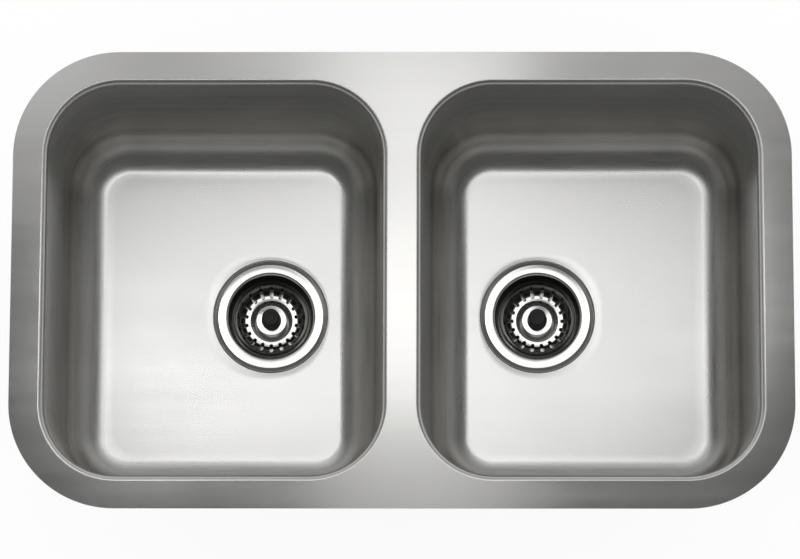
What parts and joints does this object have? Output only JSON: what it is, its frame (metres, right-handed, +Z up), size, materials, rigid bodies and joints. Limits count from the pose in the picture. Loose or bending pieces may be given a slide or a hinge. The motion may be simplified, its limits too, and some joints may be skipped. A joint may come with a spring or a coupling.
{
  "type": "double bowl kitchen sink",
  "caption": "Undermount stainless kitchen sink with two deep drawn bowls in one flat rim, a basket strainer waste in each bowl and lift-out baskets.",
  "frame": {"origin": "the middle of the divider on the rim's top face, which meets the worktop's underside", "axes": "+X along the two bowls to the right, seen from the front; +Y to the back, away from the user; +Z up, square to the rim; the whole part lies below z = 0"},
  "size_m": [0.765, 0.455, 0.2922],
  "materials": {
    "rim_steel": "fine satin brush, slightly glossy",
    "bowl_steel": "drawn and satin brushed, softer on the floor than on the walls",
    "polished_steel": "bright polished",
    "screw_steel": "plain turned",
    "brass": "plain turned",
    "black_plastic": "moulded, half gloss",
    "black_rubber": "moulded, matt",
    "grey_rubber": "foam rubber, matt",
    "white_plastic": "moulded, satin",
    "damping_pad": "matt sheet"
  },
  "bodies": {
    "sink": {"rim_plate": "rim_steel", "left_strainer_cup": "polished_steel", "left_flange_seal": "grey_rubber", "left_lower_gasket": "black_rubber", "left_waste_body": "white_plastic", "left_insert_nut": "brass", "left_clamp_screw": "screw_steel", "left_outlet_nut": "white_plastic", "left_cone_washer": "black_rubber", "left_bowl": "bowl_steel", "left_sound_pad": "damping_pad", "right_strainer_cup": "polished_steel", "right_flange_seal": "grey_rubber", "right_lower_gasket": "black_rubber", "right_waste_body": "white_plastic", "right_insert_nut": "brass", "right_clamp_screw": "screw_steel", "right_outlet_nut": "white_plastic", "right_cone_washer": "black_rubber", "right_bowl": "bowl_steel", "right_sound_pad": "damping_pad"},
    "left_basket": {"left_basket": "polished_steel", "left_basket_knob": "black_plastic", "left_plug_carrier": "black_plastic", "left_plug_seal": "black_rubber", "left_basket_screw": "screw_steel"},
    "right_basket": {"right_basket": "polished_steel", "right_basket_knob": "black_plastic", "right_plug_carrier": "black_plastic", "right_plug_seal": "black_rubber", "right_basket_screw": "screw_steel"}
  },
  "joints": [
    {"name": "left_basket_lift", "type": "slide", "parent": "sink", "child": "left_basket", "axis": [0, 0, 1], "range_m": [0, 0.25]},
    {"name": "right_basket_lift", "type": "slide", "parent": "sink", "child": "right_basket", "axis": [0, 0, 1], "range_m": [0, 0.25]}
  ]
}
